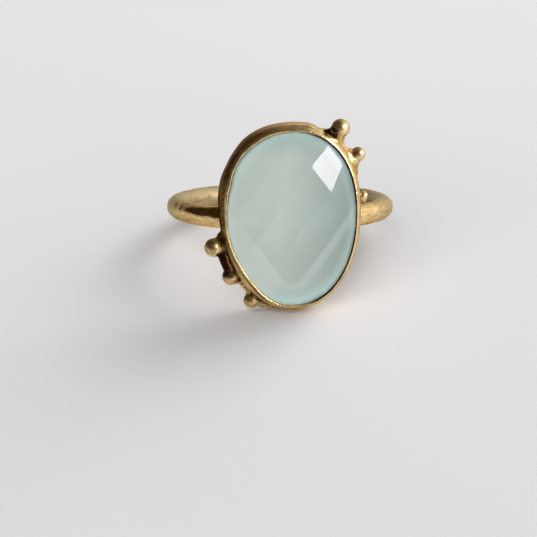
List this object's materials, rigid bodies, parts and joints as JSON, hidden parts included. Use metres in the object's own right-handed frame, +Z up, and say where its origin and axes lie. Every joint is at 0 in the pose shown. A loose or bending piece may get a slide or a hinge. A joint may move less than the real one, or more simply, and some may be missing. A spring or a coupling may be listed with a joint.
{
  "type": "stackable gem ring",
  "caption": "Stackable finger ring lying on its side: round wire band, egg-shaped faceted stone in a smooth bezel with granules on its wall.",
  "frame": {"origin": "centre of the bounding box in plan, on the surface that the ring lies on", "axes": "+Z up; the stone faces -Y and about 19 degrees upwards; the finger's axis leans back by the same angle; +X to the right of someone who looks at the stone"},
  "size_m": [0.0212, 0.0244, 0.0166],
  "materials": {
    "aged_gold": "matte aged gold, hammered and brushed by hand, darker in the hollows",
    "aqua_chalcedony": "polished milky aqua stone with flat facets"
  },
  "bodies": {
    "root": {"band_and_bezel": "aged_gold", "stone": "aqua_chalcedony"}
  },
  "joints": []
}
